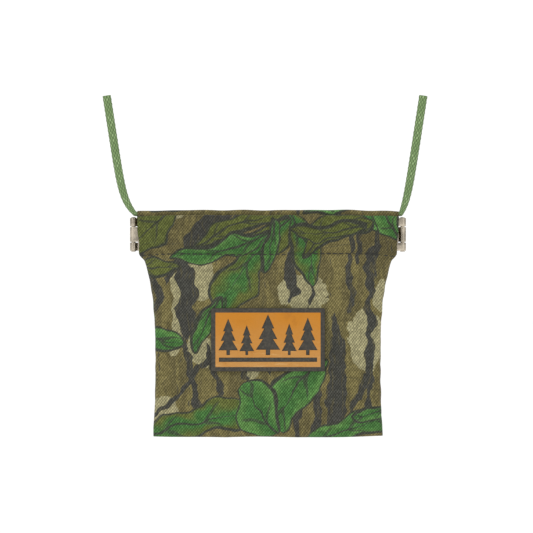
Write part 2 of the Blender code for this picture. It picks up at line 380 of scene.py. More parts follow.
def gather_tree(face):
    """Moves a soft piece's points as the frame's ends come in and its leaves turn."""
    tree = bpy.data.node_groups.new(f"gather_{FACE_NAMES[face]}", "GeometryNodeTree")
    for way in ("INPUT", "OUTPUT"):
        tree.interface.new_socket("Geometry", in_out=way, socket_type="NodeSocketGeometry")
    n = Nodes(tree)

    def stored(name, kind="FLOAT"):
        made = n.node("GeometryNodeInputNamedAttribute", {"Name": name}, data_type=kind)
        return made.outputs["Attribute"]

    def moved(body, point, kind):
        info = n.node("GeometryNodeObjectInfo", {"Object": frame["bodies"][body]})
        there = n.node(kind, {0: point, "Transform": info.outputs["Transform"]}).outputs[0]
        return n.vector("SUBTRACT", there, point)

    depth = stored("depth", "FLOAT_VECTOR")
    total = None
    for side in SIDE_NAMES.values():
        anchor = stored(f"anchor_{side}", "FLOAT_VECTOR")
        pulled = moved(f"{side}_end", anchor, "FunctionNodeTransformPoint")
        turned = moved(f"{side}_{FACE_NAMES[face]}_leaf", depth, "FunctionNodeTransformDirection")
        for step, share in ((pulled, f"pull_{side}"), (turned, f"turn_{side}")):
            part = n.vector("SCALE", step, stored(share))
            total = part if total is None else n.vector("ADD", total, part)
    start = n.node("NodeGroupInput").outputs[0]
    place = n.node("GeometryNodeSetPosition", {"Geometry": start, "Offset": total})
    n.node("NodeGroupOutput", {0: place.outputs[0]})
    return tree


GATHER = {face: gather_tree(face) for face in (FRONT, BACK)}


def bend_with_mouth(obj, face):
    """Ties a finished soft piece to the frame's two ends and to the two leaves of its wall."""
    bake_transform(obj)
    rest = places(obj.data)
    x, z = rest[:, 0] / MM, rest[:, 2] / MM
    store(obj.data, "depth", rest * (0, 1, 0), "FLOAT_VECTOR")
    u = np.clip(1 - np.abs(x) / PIN_X, 0, 1)
    tilt = np.clip((1 - u) / (1 - LEAF_SHARE), 0, 1) * smooth(z, HEM_Z - 6, HEM_Z + 2)
    for side, name in SIDE_NAMES.items():
        anchor = rest.copy()
        anchor[:, 0] = side * np.maximum(side * rest[:, 0], (LEAF_END_X - 3) * MM)
        store(obj.data, f"anchor_{name}", anchor, "FLOAT_VECTOR")
        store(obj.data, f"pull_{name}", (1 + side * x / PIN_X) / 2)
        store(obj.data, f"turn_{name}", np.where(x * side > 0, tilt, 0))
    gather = obj.modifiers.new("gather", "NODES")
    gather.node_group = GATHER[face]
    obj.modifiers.move(len(obj.modifiers) - 1, 0)


# The camouflage print: a brown wood with tan gaps, dark trunks, and outlined leaves.

LEAF_GREEN = (0.088, 0.2, 0.052)
LEAF_GREEN_DEEP = (0.05, 0.138, 0.036)
LEAF_OLIVE = (0.1, 0.116, 0.03)
FIELD_BROWN = (0.16, 0.135, 0.052)
FIELD_SHADE = (0.112, 0.095, 0.04)
GAP_TAN = (0.322, 0.295, 0.16)
CHARCOAL = (0.05, 0.05, 0.042)
INK = (0.046, 0.05, 0.037)
UNDYED = (0.22, 0.215, 0.135)
WORN = (0.34, 0.33, 0.2)


def group(name, kinds):
    """A shader group with these inputs, that prints one shape over the colour under it."""
    tree = bpy.data.node_groups.new(name, "ShaderNodeTree")
    for socket, kind in {"Under": "Color", "Place": "Vector", **kinds}.items():
        tree.interface.new_socket(socket, in_out="INPUT", socket_type=f"NodeSocket{kind}")
    tree.interface.new_socket("Colour", in_out="OUTPUT", socket_type="NodeSocketColor")
    tree.interface.new_socket("Next Place", in_out="OUTPUT", socket_type="NodeSocketVector")
    return tree, Nodes(tree), tree.nodes.new("NodeGroupInput").outputs


def print_over(s, given, mask, colour):
    """Ends a print group: colour over what is under it, where mask is 1. The place is handed on with a
    trace of mask, so that Cycles works the shapes out one after another and its stack stays small."""
    trace = s.join(s.mul(mask, 1e-6), 0.0)
    place = s.vector("ADD", given["Place"], trace)
    s.node("NodeGroupOutput", {"Colour": s.mix(mask, given["Under"], colour), "Next Place": place})


def leaf_group():
    """A smooth-lobed leaf with a soft dark outline, a midrib and a few side veins."""
    kinds = {"Root": "Vector", "Edge": "Color", "Core": "Color"}
    kinds |= dict.fromkeys(["Heading", "Length", "Width", "Bend", "Lobes"], "Float")
    tree, s, given = group("printed_leaf", kinds)
    turned = s.node("ShaderNodeVectorRotate", {"Vector": given["Place"], "Center": given["Root"]})
    turned.rotation_type = "Z_AXIS"
    s.put(turned.inputs["Angle"], s.mul(given["Heading"], -1.0))
    along, across, _ = s.split(s.vector("SUBTRACT", turned.outputs[0], given["Root"]))
    t = s.math("DIVIDE", along, given["Length"])
    inside_t = s.math("MAXIMUM", t, 0.0)
    inside_rest = s.math("MAXIMUM", s.sub(1.0, t), 0.0)
    arc = s.mul(s.mul(inside_t, inside_rest), s.mul(given["Bend"], given["Length"]))
    across = s.sub(across, arc)
    off_rib = s.math("ABSOLUTE", across)
    swell = s.mul(s.math("POWER", inside_t, 0.55), s.math("POWER", inside_rest, 0.5))
    lean = s.mul(s.math("SIGN", across), 0.13)
    wave = s.math("COSINE", s.mul(s.add(s.mul(t, given["Lobes"]), lean), math.tau))
    lobe = s.sub(0.86, s.mul(wave, 0.2))
    half = s.mul(s.mul(s.mul(swell, 2.1), lobe), given["Width"])
    inset = s.sub(half, off_rib)
    line = s.step(across, -2.0, 2.0, 1.15, 0.6)
    fill = s.step(s.sub(inset, line), -0.3, 0.4)
    reach = s.math("DIVIDE", off_rib, s.math("MAXIMUM", half, 0.1))
    core = s.step(s.add(reach, s.drift(given["Place"], 0.16, 1.6, 1.0)), 0.85, 0.2)
    colour = s.mix(core, given["Edge"], given["Core"])
    beat = s.sub(s.mul(t, s.add(given["Lobes"], 1.0)), s.mul(reach, 0.62))
    off_vein = s.math("ABSOLUTE", s.sub(s.math("FRACT", beat), 0.5))
    thin = s.step(reach, 0.9, 0.1, 0.0, 0.05)
    vein = s.step(off_vein, thin, s.add(thin, 0.05), 0.72, 0.0)
    vein = s.mul(vein, s.mul(s.step(reach, 0.85, 0.6), s.step(t, 0.12, 0.25)))
    colour = s.mix(vein, colour, INK)
    rib_half = s.mul(s.step(inside_rest, 0.06, 0.9), 0.42)
    rib = s.step(s.sub(off_rib, rib_half), -0.1, 0.2, 0.9, 0.0)
    colour = s.mix(fill, INK, s.mix(rib, colour, INK))
    print_over(s, given, s.step(inset, -0.2, 0.15), colour)
    return tree


def trunk_group():
    """A dark trunk or twig with a ragged outline and a little bark."""
    kinds = {"Foot": "Vector", "Lean": "Float", "Width": "Float", "Height": "Float"}
    tree, s, given = group("printed_trunk", kinds)
    x, z, _ = s.split(s.vector("SUBTRACT", given["Place"], given["Foot"]))
    px, pz, _ = s.split(given["Place"])
    sway = s.drift(s.join(s.mul(px, 0.01), pz), 0.09, 7.0, 1.0)
    jag = s.drift(s.join(px, s.mul(pz, 0.5)), 0.3, 4.0)
    off = s.math("ABSOLUTE", s.sub(s.sub(x, sway), s.mul(z, given["Lean"])))
    ends = s.math("MINIMUM", z, s.sub(given["Height"], z))
    half = s.math("MINIMUM", given["Width"], s.mul(s.add(ends, jag), 0.4))
    mask = s.step(s.sub(s.add(half, jag), off), -0.15, 0.2)
    grain = s.step(s.noise(s.join(px, s.mul(pz, 0.12)), 1.3), 0.56, 0.64, 0.0, 0.4)
    print_over(s, given, mask, s.mix(grain, CHARCOAL, FIELD_SHADE))
    return tree


def gap_group():
    """A pale gap between the trees."""
    kinds = {"Middle": "Vector", "Width": "Float", "Height": "Float"}
    tree, s, given = group("printed_gap", kinds)
    x, z, _ = s.split(s.vector("SUBTRACT", given["Place"], given["Middle"]))
    wide = s.math("POWER", s.math("ABSOLUTE", s.math("DIVIDE", x, given["Width"])), 2.0)
    tall = s.math("POWER", s.math("ABSOLUTE", s.math("DIVIDE", z, given["Height"])), 2.4)
    ragged = s.drift(given["Place"], 0.3, 1.5, 3.0, 0.6)
    mask = s.step(s.add(s.add(wide, tall), ragged), 1.04, 0.96)
    tint = s.mix(s.noise(given["Place"], 0.5), GAP_TAN, scaled(GAP_TAN, 0.72))
    print_over(s, given, mask, tint)
    return tree


# (middle x, middle z, half width, half height)
GAPS = [
    (-25, 58, 5.5, 8), (-34, 52, 1.8, 9), (-25, 32, 5.5, 6), (-34, 37, 1.9, 7), (13, 53, 9, 7),
    (36, 36, 6, 11), (-39, 8, 7, 7), (-36, 82.5, 4, 2), (-6, 24, 3, 3), (9, 66, 2.4, 4), (3, 84, 5, 2),
    (41, 52, 2, 6),
]
# (foot x, foot z, lean, half width, height)
TRUNKS = [
    (25, -6, 0, 3.3, 50), (9, 49, -0.02, 1.9, 40), (15.5, 45, 0, 0.7, 24), (30, 44, 0.02, 1, 34),
    (36.5, 5, 0.02, 1.3, 66), (39.5, 58, 0, 1, 26), (34, 62, -0.05, 0.9, 22),
    (-31, 34, 0.06, 3.6, 34), (-37, 56, 0.72, 7.2, 38), (-24, 5, -0.24, 1.2, 34),
    (-15, 6, -0.26, 1.1, 28), (-8, 20, 0, 1.1, 22), (1, 22, 0.05, 1, 20), (-40, 44, -0.1, 1.2, 22),
    (18, -3, 0.02, 1.5, 22), (11, -3, 0, 1, 18), (-42, 7, 0.9, 1.2, 26), (31, 10, 0.4, 1.6, 16),
    (-12, 76, 0, 1, 12), (-47.6, 62, 0, 1.3, 24), (23, 74, 0, 0.9, 12),
]
# (root x, root z, heading in degrees, length, half width, bend, lobes, kind)
LEAVES = [
    (-35, 86, 222, 28, 7.5, 0.1, 1, "olive"), (-50, 60, 8, 18, 3.6, 0.4, 1, "olive"),
    (-28, 70, 21, 42, 4.2, 0.2, 2, "olive"), (45, 83, 190, 12, 4, 0.3, 1, "green"),
    (7, 84, 288, 30, 6, 0.3, 1, "mixed"), (8, 81, 233, 46, 8.5, -0.16, 2, "mixed"),
    (12, 66, 28, 30, 5.4, 0.62, 1, "olive"), (36, 80, 186, 28, 3.8, 0.35, 2, "olive"),
    (0, 76, 194, 38, 4.8, 0.28, 2, "green"), (2, 82, 262, 22, 3.4, 0.2, 1, "green"),
    (48, 73, 128, 18, 5, -0.3, 1, "green"), (-48, 38, -12, 17, 5.6, 0.15, 0, "green"),
    (-17, 52, 244, 24, 3.6, -0.2, 1, "green"), (-46, 0, 11, 46, 6.8, 0.2, 2, "mixed"),
    (21, 29, 238, 32, 8, -0.5, 1, "green"), (3, 1, 122, 23, 8.6, 0.16, 1, "green"),
    (14, -3, 14, 34, 5.6, 0.3, 2, "green"), (45, 12, 200, 15, 3.2, 0.3, 1, "green"),
]
# kind: (edge, core)
LEAF_TINTS = {
    "green": (LEAF_GREEN, LEAF_GREEN_DEEP),
    "olive": (LEAF_OLIVE, LEAF_OLIVE),
    "mixed": (LEAF_OLIVE, LEAF_GREEN_DEEP),
}


def camo_print(s, place):
    """The print's colour at place, a point on the flat cloth."""
    shift = s.node("ShaderNodeTexNoise", {"Vector": place, "Scale": 0.11, "Detail": 1.5})
    moved = s.vector("SUBTRACT", shift.outputs["Color"], (0.5, 0.5, 0.5))
    place = s.vector("ADD", place, s.vector("SCALE", moved, 5.0))
    x, z, _ = s.split(place)
    tall = s.join(x, s.mul(z, 0.16))
    colour = s.mix(s.step(s.noise(tall, 0.22, 3.0, 0.6), 0.44, 0.56), FIELD_SHADE, FIELD_BROWN)
    colour = s.mix(s.step(s.noise(tall, 0.75, 3.0, 0.6), 0.63, 0.69, 0.0, 0.75), colour, CHARCOAL)
    trees = {"leaf": leaf_group(), "trunk": trunk_group(), "gap": gap_group()}
    state = {"Under": colour, "Place": place}

    def stamp(kind, **inputs):
        made = s.node("ShaderNodeGroup", node_tree=trees[kind])
        for socket, value in {**state, **inputs}.items():
            s.put(made.inputs[socket], value)
        state["Under"], state["Place"] = made.outputs["Colour"], made.outputs["Next Place"]

    for x0, z0, width, height in GAPS:
        stamp("gap", Middle=(x0, z0, 0), Width=width, Height=height)
    for x0, z0, lean, width, height in TRUNKS:
        stamp("trunk", Foot=(x0, z0, 0), Lean=lean, Width=width, Height=height)
    for x0, z0, heading, length, width, bend, lobes, kind in LEAVES:
        edge, core = LEAF_TINTS[kind]
        shape = {"Length": length, "Width": width, "Bend": bend, "Lobes": lobes}
        turn = math.radians(heading)
        stamp("leaf", Root=(x0, z0, 0), Heading=turn, Edge=edge, Core=core, **shape)
    return state["Under"]


# Materials.


def camo_twill(name="camo_twill", faded=0.0):
    """Printed twill: a lattice of floats, strongest along one diagonal, with uneven yarns, painted
    shade in the grooves between the floats and painted shade over the front casing. The print shows
    through faded on the cloth's wrong side."""
    made, s = new_material(name)
    place = s.attribute("print", "Vector")
    colour = s.mix(faded, camo_print(s, place), UNDYED)
    x, z, _ = s.split(place)
    loose = s.drift(place, 0.5, 0.9, 2.0)
    across = s.mul(x, math.sin(TWILL_ANGLE) / TWILL_PITCH)
    up = s.mul(z, math.cos(TWILL_ANGLE) / TWILL_PITCH)
    rise = s.add(s.sub(across, up), loose)
    fall = s.add(s.add(across, up), loose)
    rib = s.math("COSINE", s.mul(rise, math.tau))
    float_end = s.math("COSINE", s.mul(fall, math.tau))
    height = s.add(0.5, s.add(s.mul(rib, 0.32), s.mul(float_end, 0.18)))
    cell = s.join(s.math("ROUND", rise), s.math("ROUND", fall))
    chance = s.node("ShaderNodeTexWhiteNoise", {"Vector": cell}).outputs["Value"]
    slub = s.noise(s.join(s.mul(x, 0.2), z), 1.1)
    # Painted shade: the colour darkens in the grooves between the floats and lightens on their crowns,
    # by their height; the chance, slub and cloudy factors below are the yarns' own unevenness.
    tone = s.add(0.44, s.mul(height, 0.94))
    tone = s.mul(tone, s.add(0.79, s.mul(chance, 0.42)))
    tone = s.mul(tone, s.add(0.72, s.mul(slub, 0.56)))
    tone = s.mul(tone, s.add(0.88, s.mul(s.noise(place, 0.05), 0.24)))
    # Painted shade: the cloth is darkened by an eighth above the hem's height on the print, over the
    # front casing and its inside fold, and near the bottom of the back wall, whose print is cut upside
    # down.
    tone = s.mul(tone, s.step(z, HEM_Z - 0.5, HEM_Z + 1.5, 1.0, 0.88))
    grey = s.node("ShaderNodeCombineColor", {0: tone, 1: tone, 2: tone}).outputs[0]
    worn = s.step(s.noise(place, 1.3, 4.0, 0.75), 0.6, 0.8, 0.0, 0.22)
    colour = s.mix(s.mul(worn, height), colour, WORN)
    s.surface(Base_Color=s.mix(1.0, colour, grey, "MULTIPLY"), Normal=s.bump(height, 0.5, 0.15))
    s.surface(Roughness=0.9, Sheen_Weight=0.04, Sheen_Roughness=0.6, Specular_IOR_Level=0.12)
    return made


def thread_material():
    made, s = new_material("dark_thread")
    fibre = s.noise(s.object_place(), 4200.0, 3.0, 0.7)
    colour = s.mix(fibre, (0.0132, 0.0132, 0.0096), (0.033, 0.033, 0.024))
    s.surface(Base_Color=colour, Roughness=0.75, Normal=s.bump(fibre, 0.4, 0.05))
    return made


def leather_material():
    """Tan leather, paler and creased towards its lower edge, with pores."""
    made, s = new_material("tan_leather")
    place = s.attribute("print", "Vector")
    x, z, _ = s.split(place)
    mottle = s.noise(place, 0.12, 4.0, 0.6)
    uneven = s.mul(s.sub(mottle, 0.5), 14.0)
    rise = s.step(s.add(z, uneven), PATCH_LOW[2], PATCH_HIGH[2])
    colour = s.mix(rise, (0.45, 0.22, 0.058), (0.46, 0.175, 0.012))
    crease = s.step(s.noise(s.join(s.mul(x, 0.12), z), 0.8, 4.0, 0.65), 0.55, 0.7, 0.0, 0.4)
    low = s.step(z, PATCH_HIGH[2] - 8, PATCH_LOW[2] + 3)
    colour = s.mix(s.mul(crease, low), colour, (0.62, 0.42, 0.18))
    colour = s.mix(s.step(mottle, 0.58, 0.7, 0.0, 0.35), colour, (0.33, 0.125, 0.018))
    pores = s.node("ShaderNodeTexVoronoi", {"Vector": place, "Scale": 2.6}).outputs["Distance"]
    colour = s.mix(s.step(pores, 0.22, 0.05, 0.0, 0.3), colour, (0.2, 0.08, 0.012))
    height = s.add(s.mul(pores, 0.8), s.mul(crease, -1.0))
    s.surface(Base_Color=colour, Roughness=s.step(mottle, 0.3, 0.7, 0.55, 0.7))
    s.surface(Specular_IOR_Level=0.22, Normal=s.bump(height, 0.35, 0.12))
    return made


def scorched_material():
    made, s = new_material("scorched_leather")
    soot = s.noise(s.object_place(), 900.0, 4.0, 0.7)
    colour = s.mix(s.step(soot, 0.35, 0.7), (0.028, 0.026, 0.021), (0.06, 0.052, 0.038))
    s.surface(Base_Color=colour, Roughness=0.82, Normal=s.bump(soot, 0.6, 0.12))
    return made


def cord_material():
    """Braided polyester: painted shade where strands dive under, lightest on the crowns, and painted
    shade round the sides.
    """
    made, s = new_material("green_cord")
    raised, strand = s.attribute("raised"), s.attribute("strand")
    fibre = s.noise(s.object_place(), 5200.0, 3.0, 0.7)
    # Painted shade: dark green in the dips where strands dive under, full green on the raised crowns.
    colour = s.mix(s.step(raised, 0.15, 0.85), (0.055, 0.095, 0.026), (0.19, 0.31, 0.108))
    light_strand = s.mul(s.step(strand, 0.55, 0.75), s.step(raised, 0.4, 0.95))
    colour = s.mix(light_strand, colour, (0.3, 0.44, 0.19))
    colour = s.mix(s.step(fibre, 0.3, 0.75, 0.3, 0.0), colour, (0.03, 0.06, 0.015))
    # Painted shade: darker where the cord turns away from the camera, round its sides.
    painted_side_shade = s.node("ShaderNodeLayerWeight", {"Blend": 0.5}).outputs["Facing"]
    colour = s.mix(s.step(painted_side_shade, 0.12, 0.7, 0.0, 0.75), colour, (0.07, 0.095, 0.036))
    s.surface(Base_Color=colour, Roughness=0.62, Sheen_Weight=0.1, Normal=s.bump(fibre, 0.35, 0.06))
    return made


def metal_material(name, colour, roughness, brushed):
    """Metal with a cloudy tint and fine lines, longer across x the smaller brushed is."""
    made, s = new_material(name)
    place = s.object_place()
    x, y, z = s.split(place)
    lines = s.noise(s.join(s.mul(x, brushed), y, z), 1800.0, 4.0, 0.7)
    cloud = s.noise(place, 260.0, 3.0, 0.6)
    uneven = s.add(lines, s.mul(cloud, 0.6))
    tint = s.mix(s.step(cloud, 0.35, 0.7), scaled(colour, 0.62), colour)
    s.surface(Base_Color=tint, Metallic=1.0, Normal=s.bump(lines, 0.12, 0.03))
    s.surface(Roughness=s.step(uneven, 0.5, 1.1, roughness, roughness + 0.22))
    return made


# The cloth walls.


def wall_profile(face):
    """The middle of one wall's cloth in side view, in even steps: (distance from the middle, height).
    It climbs the outside, turns over the top and comes down inside to the hem's raw edge."""
    top = TOP_Z[face] - CLOTH / 2
    outer = CASING_Y - CLOTH / 2 - 0.04
    panel = PANEL_Y - CLOTH / 2
    inner = SEAM_Y + CLOTH / 2
    corners = [
        (0, 0.22), (1.1, 0.3), (panel, 1.3), (panel, 60), (panel - 0.1, 64.5),
        (panel - 0.3, STITCH_Z - 0.3), (panel - 0.3, STITCH_Z + 0.2), (outer - 0.1, STITCH_Z + 1.0),
        (outer, STITCH_Z + 2), (outer, top - 0.7), (outer - 0.3, top - 0.12),
        ((outer + inner) / 2, top), (inner + 0.4, top - 0.25), (inner, top - 1.2), (inner, HEM_Z - 0.6),
    ]
    corners = np.array(corners, float)
    travel = travel_along(corners)
    fine = np.arange(0, travel[-1], 0.1)
    path = np.stack([np.interp(fine, travel, corners[:, k]) for k in (0, 1)], axis=1)
    window = np.hanning(13)
    window /= window.sum()
    padded = np.pad(path, ((6, 6), (0, 0)), mode="edge")
    path = np.stack([np.convolve(padded[:, k], window, mode="valid") for k in (0, 1)], axis=1)
    count = int(travel[-1] / CLOTH_STEP)
    pick = np.linspace(0, len(path) - 1, count).round().astype(int)
    return path[pick], fine[pick]


def wall_relief(face, x, z):
    """How far the cloth stands out from its profile: puckers at the stitches and seams, soft waves."""
    seed = 11 if face == FRONT else 23
    drift = waves(x, z, 9, 5, seed) * 0.9
    puckers = np.sin(math.tau * (x + drift) / 4.1) * np.exp(-(((z - STITCH_Z) / 2.0) ** 2)) * 0.14
    inset = half_width(z) - np.abs(x)
    tugs = np.sin(math.tau * (z + drift * 1.5) / 6.3) * np.exp(-inset / 4.5) * smooth(inset, 0, 2) * 0.3
    tugs *= 1 - smooth(z, HEM_Z - 6, HEM_Z)
    near_x = smooth(np.abs(x), PATCH_HIGH[0] + 6, PATCH_HIGH[0])
    near_z = smooth(np.abs(z - (PATCH_LOW[2] + PATCH_HIGH[2]) / 2), 19, 12)
    seat = 1 - near_x * near_z
    broad = waves(x, z, 22, 7, seed + 1) * 0.22 * smooth(z, 1, 8) * smooth(inset, 0, 6)
    on_casing = smooth(z, HEM_Z, HEM_Z + 3)
    fine = waves(x, z, 6, 8, seed + 2) * (0.07 - 0.04 * on_casing)
    return puckers + (tugs + broad * (1 - 0.75 * on_casing)) * seat + fine * seat


def top_drop(x):
    """How far the casing's top edge hangs below its highest point."""
    return 0.45 * np.abs(x / CASING_HIGH[0]) ** 5 + 0.1 * (1 + waves(x, 0 * x, 15, 4, 5))


def wall_surface(face):
    """The wall's points, rows by columns, and each point's height on the print, which follows the
    cloth over the fold."""
    profile, travel = wall_profile(face)
    columns = int(2 * CASING_HIGH[0] / CLOTH_STEP)
    u = np.linspace(-1, 1, columns)[None, :]
    out, z = profile[:, :1], profile[:, 1:]
    folded = np.arange(len(profile)) > np.argmax(profile[:, 1])
    edge = waves(z, u * 40, 8, 5, 31 if face == FRONT else 37) * 0.07
    x = u * half_width(z) + edge * u**8
    inset = (1 - np.abs(u)) * half_width(z)
    rounded = np.sqrt(np.clip(1 - (1 - np.clip(inset / EDGE_ROUND, 0, 1)) ** 2, 0, 1))
    rounded = rounded + (1 - rounded) * smooth(z, *OPEN_END_Z)
    depth = SEAM_Y + (out - SEAM_Y) * rounded
    depth = np.where(z < BOTTOM_ROUND, np.minimum(depth, out), depth)
    relief = wall_relief(face, x, z) * smooth(z, 0.2, BOTTOM_ROUND)
    relief = np.where(folded[:, None], np.clip(relief * 0.3, -0.12, 0.2), relief)
    y = face * np.maximum(depth + relief, 0.0)
    share = smooth(z, HEM_Z + 4, TOP_Z[face])
    sag = 0.35 * (u**2) * smooth(z, 6, 0) - waves(x, 0 * z, 30, 3, 8) * 0.12 * smooth(z, 6, 0)
    height = z - top_drop(x) * share + np.abs(sag)
    on_panel = np.argmax(profile[:, 1] > HEM_Z / 2)
    print_height = (travel - travel[on_panel] + profile[on_panel, 1])[:, None] + 0 * x
    return np.stack([x, y, height], axis=-1), print_height


def store_print(mesh, x, z, face):
    """The place on the flat cloth that each point shows. The back wall is cut upside down."""
    if face == BACK:
        z = TOP_Z[BACK] - z
    store(mesh, "print", np.stack([x, z, 0 * x], axis=-1).reshape(-1, 3), "FLOAT_VECTOR")


def cloth_wall(face, cloth, wrong_side):
    """One wall from the bottom edge over the casing to the raw edge inside. Returns its points."""
    name = FACE_NAMES[face]
    points, print_height = wall_surface(face)
    obj = mesh_object(f"{name}_wall_cloth", points, grid_faces(*points.shape[:2]))
    store_print(obj.data, points[..., 0], print_height, face)
    if face == BACK:
        obj.data.flip_normals()
    solidify(obj, CLOTH).material_offset = 1
    finish_piece(obj, cloth)
    obj.data.materials.append(wrong_side)
    bend_with_mouth(obj, face)
    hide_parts(f"{name}_panel", f"{name}_casing")
    return points


# Stitches, bands and seams.


def capsules(name, middles, directions, length, radius):
    """A row of short threads, each a rounded rod along its direction."""
    rings, sides = 7, 8
    bend = np.linspace(0, math.pi, rings)[:, None, None]
    around = np.linspace(0, math.tau, sides, endpoint=False)[:, None]
    size = radius * np.maximum(np.sin(bend), 0.05) ** 0.45
    points, faces = [], []
    for middle, direction in zip(middles, directions):
        direction = direction / np.linalg.norm(direction)
        side = np.cross(direction, (0.0, 1.0, 0.0))
        side /= np.linalg.norm(side)
        ring = np.cos(around) * side + np.sin(around) * np.cross(direction, side)
        faces += [[k + len(points) for k in face] for face in grid_faces(rings, sides, tube=True)]
        rod = middle - np.cos(bend) * length / 2 * direction + size * ring
        points += rod.reshape(-1, 3).tolist()
    return mesh_object(name, points, faces)


def hem_stitches(face, surface, thread):
    """Lockstitches along the bottom of a casing, each lying in the cloth's dip."""
    name = FACE_NAMES[face]
    reach = CASING_HIGH[0] - 1.2
    count = int(2 * reach / (STITCH_LENGTH + STITCH_GAP))
    before_fold = len(surface) // 2 + 40
    outside = surface[:before_fold]
    middles, directions = [], []
    for i in range(count):
        x = -reach + (i + 0.5) * 2 * reach / count
        z = STITCH_Z + 0.22 * math.sin(x * 0.09 + face) - (abs(x) / reach) ** 6
        away = (outside[..., 0] - x) ** 2 + (outside[..., 2] - z) ** 2
        row, column = np.unravel_index(np.argmin(away), away.shape)
        y = outside[row, column, 1] + face * (CLOTH / 2 + 0.03)
        middles.append(np.array((x, y, z)))
        directions.append(np.array((1.0, 0.0, 0.05 * math.sin(i * 2.3))))
    obj = capsules(f"{name}_hem_stitches", middles, directions, STITCH_LENGTH, STITCH_RADIUS)
    finish_piece(obj, thread)
    bend_with_mouth(obj, face)
    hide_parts(f"{name}_hem_thread")


def spring_band(face, steel):
    """A flat spring strip with rounded ends."""
    name = FACE_NAMES[face]
    low, high = box_mm(f"{name}_spring_band")
    x = np.linspace(low[0], high[0], 120)
    end = np.clip((high[0] - np.abs(x)) / BAND_END_ROUND, 0, 1)
    half = (high[2] - low[2]) / 2 - BAND_END_ROUND * (1 - np.sqrt(1 - (1 - end) ** 2))
    z = (high[2] + low[2]) / 2 + np.linspace(-1, 1, 9)[:, None] * half[None, :]
    y = np.full(z.shape, (low[1] + high[1]) / 2)
    points = np.stack([x[None, :] + 0 * z, y, z], axis=-1)
    obj = mesh_object(f"{name}_spring_band_strip", points, grid_faces(*z.shape))
    solidify(obj, high[1] - low[1])
    finish_piece(obj, steel, 40)
    bend_with_mouth(obj, face)
    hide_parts(f"{name}_spring_band")


def allowance(name, outline, inward, body, node, cloth, thread):
    """Two layers of turned-in cloth along outline. Returns the overlock on their raw edge."""
    travel = travel_along(outline)
    out_and_in = np.linspace(ALLOWANCE_DEPTH, ALLOWANCE_FOLD, 8)
    ripple = 0.1 * np.sin(travel * 1.1)
    points = []
    for layer, rows in ((-1, out_and_in), (1, out_and_in[::-1])):
        for row in rows:
            x, z = (outline + np.array(inward) * row).T
            share = row / ALLOWANCE_DEPTH
            y = layer * (0.24 + 0.16 * share**2) + ripple * share
            points.append(np.stack([x, y, z], axis=1))
    points = np.array(points)
    obj = mesh_object(name, points, grid_faces(*points.shape[:2]))
    store_print(obj.data, points[..., 0], points[..., 2], FRONT)
    solidify(obj, ALLOWANCE_CLOTH)
    finish_piece(obj, cloth)
    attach(obj, body)
    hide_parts(node)
    return overlock(f"{name}_overlock", outline, inward, travel, body, thread)


def overlock(name, outline, inward, travel, body, thread):
    """The zigzag of thread that wraps an allowance's raw edge."""
    count = int(travel[-1] / OVERLOCK_STEP)
    s = np.linspace(0.5, travel[-1] - 0.5, count)
    phase = np.arange(count) * math.pi / 2
    reach = ALLOWANCE_DEPTH - 0.75 + 0.95 * np.cos(phase)
    x = np.interp(s, travel, outline[:, 0]) + inward[0] * reach
    y = 0.72 * np.sin(phase) + 0.1 * np.sin(s * 1.1)
    z = np.interp(s, travel, outline[:, 1]) + inward[1] * reach
    curve = bpy.data.curves.new(name, "CURVE")
    curve.dimensions = "3D"
    curve.bevel_depth = OVERLOCK_RADIUS * MM
    curve.bevel_resolution = 2
    curve.use_fill_caps = True
    spline = curve.splines.new("NURBS")
    spline.points.add(count - 1)
    spline.use_endpoint_u = True
    spline.order_u = 3
    spline.resolution_u = 3
    for i, point in enumerate(spline.points):
        point.co = (x[i] * MM, y[i] * MM, z[i] * MM, 1)
    source = link(f"{name}_curve", curve)
    mesh = evaluated_mesh(source)
    bpy.data.objects.remove(source)
    mesh.name = name
    obj = link(name, mesh)
    finish_piece(obj, thread)
    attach(obj, body)
    return obj


def seam_allowances(cloth, thread):
    z = np.linspace(3.2, HEM_Z - 1.4, 90)
    for side, name in SIDE_NAMES.items():
        x = np.where(z > HEM_Z - 3, OUTLINE_X[-1] - 1.0, half_width(z) - 0.5)
        outline = np.stack([side * x, z], axis=1)
        piece, body, node = f"{name}_seam_allowance", f"{name}_end", f"{name}_side_seam"
        allowance(piece, outline, (-side, 0), body, node, cloth, thread)
    x = np.linspace(-36.5, 36.5, 100)
    outline = np.stack([x, np.full_like(x, 0.5)], axis=1)
    obj = allowance("bottom_seam_allowance", outline, (0, 1), "bag", "bottom_seam", cloth, thread)
    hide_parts("seam_thread")


# The cord.


